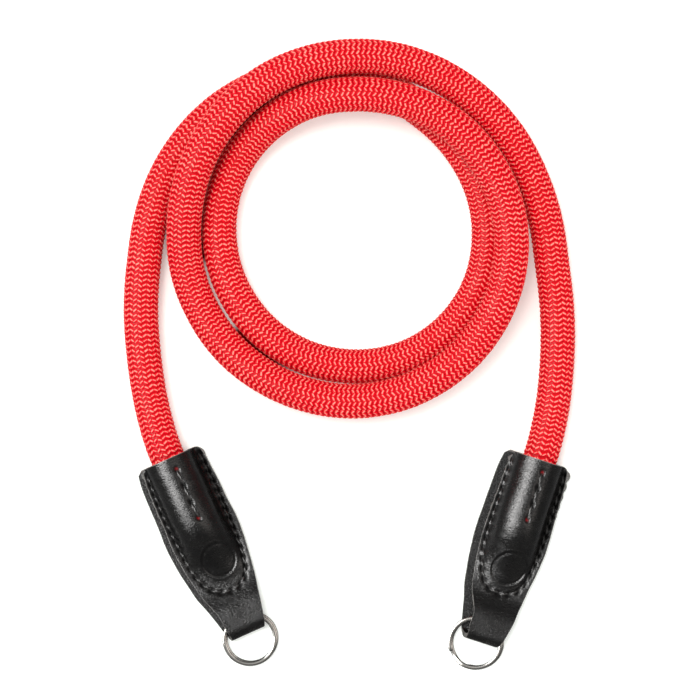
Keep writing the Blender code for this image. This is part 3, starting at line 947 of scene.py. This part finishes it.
def stitch_tubes(leaf, start, end):
    """Two plies from one hole to the next, as grids of corners in the tab's frame."""
    run = end - start
    length = np.linalg.norm(run)
    ahead = run / length
    side = np.array([-ahead[1], ahead[0]])
    share = np.linspace(0.02, 0.98, PLY_RINGS + 1)
    flat = start + share[:, None] * run + side * THREAD_ASLANT * (2 * share[:, None] - 1)
    middle = start + run / 2
    base = height_on(leaf, *middle)
    arch = np.sin(np.pi * share) ** 0.8
    centre = np.column_stack([flat, base - THREAD_DIP + (THREAD_DIP + THREAD_RISE) * arch])
    tubes = []
    for ply in (0.0, math.pi):
        wind = 2 * math.pi * TWISTS * share + ply
        line = centre.copy()
        line[:, :2] += side * (np.cos(wind) * PLY_OFFSET)[:, None]
        line[:, 2] += np.sin(wind) * PLY_OFFSET
        round_it = np.linspace(0.0, 2 * math.pi, PLY_SIDES + 1)
        rings = np.empty((len(share), PLY_SIDES + 1, 3))
        rings[..., :2] = line[:, None, :2] + (THREAD_RADIUS * np.cos(round_it))[:, None] * side
        rings[..., 2] = line[:, None, 2] + THREAD_RADIUS * np.sin(round_it)
        tubes.append(rings)
    return tubes


def sew(name, mouth, turn, leaf, seams):
    """All the stitches of one tab, as one piece."""
    bm_all = bmesh.new()
    for holes, _ in seams:
        for start, end in zip(holes, holes[1:]):
            for corners in stitch_tubes(leaf, start, end):
                one = tube_of(corners)
                mesh = bpy.data.meshes.new("ply")
                one.to_mesh(mesh)
                one.free()
                bm_all.from_mesh(mesh)
                bpy.data.meshes.remove(mesh)
    bmesh.ops.transform(bm_all, verts=bm_all.verts, matrix=tab_place(mouth, turn))
    mesh = bpy.data.meshes.new(name)
    bm_all.to_mesh(mesh)
    bm_all.free()
    print(name, "faces:", len(mesh.polygons))
    piece(name, mesh, thread)


sew("left_thread", LEFT_MOUTH, LEFT_TAB_TURN, left_leaf, left_seams)
sew("right_thread", RIGHT_MOUTH, RIGHT_TAB_TURN, right_leaf, right_seams)

# %% [markdown]
# ## The split rings
#
# A split ring is one hard wire wound nearly twice, so its two turns lie on each other
# and step across at one place. Its section is an oval, squared off a little, which is
# swept along that winding, and the ring leans a little, because one side lies inside
# the fold of the tab and the other on the table.

# %% Polished steel
STEEL_CLEAN = (0.44, 0.43, 0.405, 1.0)
STEEL_SMEARED = (0.35, 0.335, 0.31, 1.0)

steel = Finish("polished_steel", Metallic=1.0)
steel_map = steel.add("ShaderNodeTexCoord", {}, {}, "Object")
smears = steel.noise(steel.scaled(steel_map, (1 / MM, 1 / MM, 1 / MM)), 0.35, 3.0)
scratches = steel.noise(steel.scaled(steel_map, (4 / MM, 0.8 / MM, 2 / MM)), 1.0)
steel.shade(
    Base_Color=steel.mixed(steel.between(smears, 0.4, 0.65), STEEL_CLEAN, STEEL_SMEARED),
    Roughness=0.17 + steel.between(smears, 0.35, 0.7) * 0.1 + scratches * 0.05,
    Normal=steel.raised(scratches, 0.006 * MM, 0.4),
)

# %% Wind the rings
RING_RADIUS = 8.8 * MM
WIRE_WIDTH = 1.3 * MM
WIRE_HEIGHT = 0.9 * MM
WIRE_GAP = 0.15 * MM
RING_SPREAD = 0.4 * MM
RING_FIRST, RING_LAST = 5.0, 675.0
RING_STEP_FROM, RING_STEP_TO = 320.0, 360.0
RING_SECTIONS = 224
WIRE_SQUARING = 0.75
WIRE_SIDES = 20
WIRE_END_SIZE, WIRE_END_DEGREES = 0.72, 6.0
SOLID_LEATHER, FOLD_LEATHER, GAP = 1.5 * MM, 1.1 * MM, 0.3 * MM
RING_STACK = 2 * WIRE_HEIGHT + WIRE_GAP


def wire_section():
    """A closed oval that is squared off a little, as distances outward and up."""
    around = np.linspace(0.0, 2 * math.pi, WIRE_SIDES + 1)
    wide = np.sign(np.cos(around)) * np.abs(np.cos(around)) ** WIRE_SQUARING * WIRE_WIDTH / 2
    high = np.sign(np.sin(around)) * np.abs(np.sin(around)) ** WIRE_SQUARING * WIRE_HEIGHT / 2
    return wide, high


def split_ring(name, mouth, turn, beyond, aside, spin, replaces):
    """A ring whose middle is so far beyond and beside the fold, its split spun to one side."""
    degrees = np.linspace(RING_FIRST, RING_LAST, RING_SECTIONS + 1)
    step = smooth_step(degrees, RING_STEP_FROM, RING_STEP_TO)
    angle = np.radians(degrees)
    radius = RING_RADIUS - (WIRE_WIDTH + RING_SPREAD) / 2
    side = math.radians(-spin)
    centre = np.stack([
        radius * np.cos(angle) + (step - 0.5) * RING_SPREAD * math.cos(side),
        radius * np.sin(angle) + (step - 0.5) * RING_SPREAD * math.sin(side),
        (step - 0.5) * (WIRE_HEIGHT + WIRE_GAP)], axis=1)
    outward = np.stack([np.cos(angle), np.sin(angle), 0 * angle], axis=1)
    wide, high = wire_section()
    from_end = np.minimum(degrees - RING_FIRST, RING_LAST - degrees)
    taper = WIRE_END_SIZE + (1 - WIRE_END_SIZE) * smooth_step(from_end, 0.0, WIRE_END_DEGREES)
    corners = centre[:, None, :] + outward[:, None, :] * (taper[:, None] * wide)[..., None]
    corners[..., 2] += taper[:, None] * high
    bm = tube_of(corners)
    tilt = math.asin((SOLID_LEATHER + GAP) / (RING_RADIUS + beyond + FOLD_LEATHER + GAP))
    height = RING_RADIUS * math.sin(tilt) + RING_STACK / 2 * math.cos(tilt)
    lean_and_spin = Matrix.Rotation(-tilt, 4, "X") @ Matrix.Rotation(math.radians(spin), 4, "Z")
    at_fold = Matrix.Translation((aside, TAB_LENGTH + beyond, height))
    bmesh.ops.transform(bm, verts=bm.verts, matrix=tab_place(mouth, turn) @ at_fold @ lean_and_spin)
    mesh = bpy.data.meshes.new(name)
    bm.to_mesh(mesh)
    bm.free()
    print(name, "faces:", len(mesh.polygons))
    piece(name, mesh, steel, replaces)


# How far beyond the fold and beside the tab's middle each ring lies, and its spin.
split_ring("left_split_ring", LEFT_MOUTH, LEFT_TAB_TURN, 1.7 * MM, 0.0 * MM, -45, ["left_ring"])
split_ring("right_split_ring", RIGHT_MOUTH, RIGHT_TAB_TURN, 0.6 * MM, 1.05 * MM, 82, ["right_ring"])

# %% [markdown]
# ## The table and the light
#
# The object lies on a white sheet that is lit until it is almost pure white, helped by a
# faint glow of its own. Under the left half of the coil the sheet has no glow and is
# painted dark red instead, as painted shade for the narrow gaps between turns of red
# rope, with one wider gap left bright.
#
# A key sun from the upper left and a weak warm fill from the right light the things and
# leave faint shadows, but no reflection shows them. Two soft boxes, left and right, are
# seen in reflections only, and they draw the bright streaks on leather and steel. In
# reflections the sky is dark at the sides and lighter overhead.

# %% Floor
# Each pair fades the painted red shade in or out: outward from the coil's middle, away
# from its left half, and round the open gap. Beside the legs the painted shade reaches
# further out.
COIL_COVERS_FROM = (41.5 * MM, 44.5 * MM)
COIL_COVERS_TO = (50.0 * MM, 53.0 * MM)
LEG_COVERS = 6.0 * MM
LEFT_HALF = (-0.5, -0.25)
OPEN_GAP = math.radians(207)
OPEN_GAP_EDGES = (math.cos(math.radians(16)), math.cos(math.radians(11)))
PAPER = (0.81, 0.86, 0.83, 1.0)
PALER_PAPER = (0.83, 0.88, 0.85, 1.0)
RED_GAP_SHADE = (0.2, 0.0, 0.0, 1.0)
PAPER_GLOW = (1.0, 0.98, 0.93, 1.0)
NO_GLOW = (0.0, 0.0, 0.0, 1.0)

paper = Finish("white_paper", Roughness=0.9, Specular_IOR_Level=0.1, Emission_Strength=0.27)
paper_map = paper.add("ShaderNodeTexCoord", {}, {}, "Object")
from_coil = paper.add("ShaderNodeVectorMath", {"operation": "SUBTRACT"}, {
    0: paper_map, 1: (*COIL_CENTRE, 0.0)})
away = paper.add("ShaderNodeVectorMath", {"operation": "LENGTH"}, {0: from_coil}, "Value")
direction = paper.add("ShaderNodeVectorMath", {"operation": "NORMALIZE"}, {0: from_coil})
sideways = paper.add("ShaderNodeSeparateXYZ", {}, {0: direction}, "X")
toward_gap = paper.add("ShaderNodeVectorMath", {"operation": "DOT_PRODUCT"}, {
    0: direction, 1: (math.cos(OPEN_GAP), math.sin(OPEN_GAP), 0.0)}, "Value")
# Painted shade: where the sheet is dark red and has no glow, under the coil's left half.
red_shade_mask = (paper.between(away, *COIL_COVERS_FROM)
           * paper.between(away - sideways * sideways * LEG_COVERS, *COIL_COVERS_TO, 1.0, 0.0)
           * paper.between(sideways, *LEFT_HALF, 1.0, 0.0)
           * paper.between(toward_gap, *OPEN_GAP_EDGES, 1.0, 0.0))
blank = paper.mixed(paper.noise(paper_map, 3.0), PAPER, PALER_PAPER)
paper.shade(
    Base_Color=paper.mixed(red_shade_mask, blank, RED_GAP_SHADE),
    Emission_Color=paper.mixed(red_shade_mask, PAPER_GLOW, NO_GLOW),
)
print("nodes in the paper:", len(paper.nodes))

# %% Lay the sheet
FLOOR_RADIUS = 3.0
FLOOR_BELOW = 0.16 * MM

floor_bm = bmesh.new()
bmesh.ops.create_circle(floor_bm, cap_ends=True, segments=96, radius=FLOOR_RADIUS)
floor_mesh = bpy.data.meshes.new("floor")
floor_bm.to_mesh(floor_mesh)
floor_bm.free()
floor_mesh.materials.append(paper.material)
floor = bpy.data.objects.new("floor", floor_mesh)
floor.location.z = -FLOOR_BELOW
floor.visible_glossy = False
bpy.context.scene.collection.objects.link(floor)

# %% Lights
# Name, strength, width in degrees, direction toward it, colour, and which rays miss it.
SUNS = [
    ("key_light", 1.9, 22, (-0.22, 0.18, 1.0), (1.0, 0.985, 0.97), "visible_glossy"),
    ("fill_light", 0.35, 40, (0.8, -0.25, 0.8), (1.0, 0.93, 0.88), "visible_glossy"),
    ("left_soft_box", 9.0, 46, (-0.95, 0.0, 1.0), (1.0, 0.99, 0.98), "visible_diffuse"),
    ("right_soft_box", 0.75, 40, (0.85, -0.1, 1.0), (1.0, 0.92, 0.87), "visible_diffuse"),
]
for name, strength, width, toward, colour, missed_by in SUNS:
    lamp = bpy.data.lights.new(name, "SUN")
    lamp.energy = strength
    lamp.angle = math.radians(width)
    lamp.color = colour
    sun = bpy.data.objects.new(name, lamp)
    sun.rotation_euler = Vector(toward).to_track_quat("Z", "Y").to_euler()
    setattr(sun, missed_by, False)
    bpy.context.scene.collection.objects.link(sun)
print("suns:", len(SUNS))

# %% Sky
SKY_LIGHT = 0.84
SIDES_REFLECTED = 0.16
TOP_REFLECTED = 0.66
TOP_BEGINS, TOP_FULL = 0.85, 0.97

world = bpy.data.worlds.new("studio")
world.use_nodes = True
bpy.context.scene.world = world
sky = world.node_tree.nodes["Background"]
studio = Nodes(world.node_tree)
seen = studio.add("ShaderNodeLightPath", {}, {}, "Is Camera Ray")
upward = studio.add("ShaderNodeSeparateXYZ", {}, {
    0: studio.add("ShaderNodeTexCoord", {}, {}, "Generated")}, "Z")
reflected = studio.between(upward, TOP_BEGINS, TOP_FULL, SIDES_REFLECTED, TOP_REFLECTED)
studio.feed(sky.inputs["Strength"], SKY_LIGHT + seen * (1.0 - SKY_LIGHT)
            - seen.other("Is Glossy Ray") * (SKY_LIGHT - reflected))
sky.inputs["Color"].default_value = (1.0, 1.0, 1.0, 1.0)
bpy.context.scene.view_settings.view_transform = "Standard"
print("nodes in the sky:", len(studio.nodes))
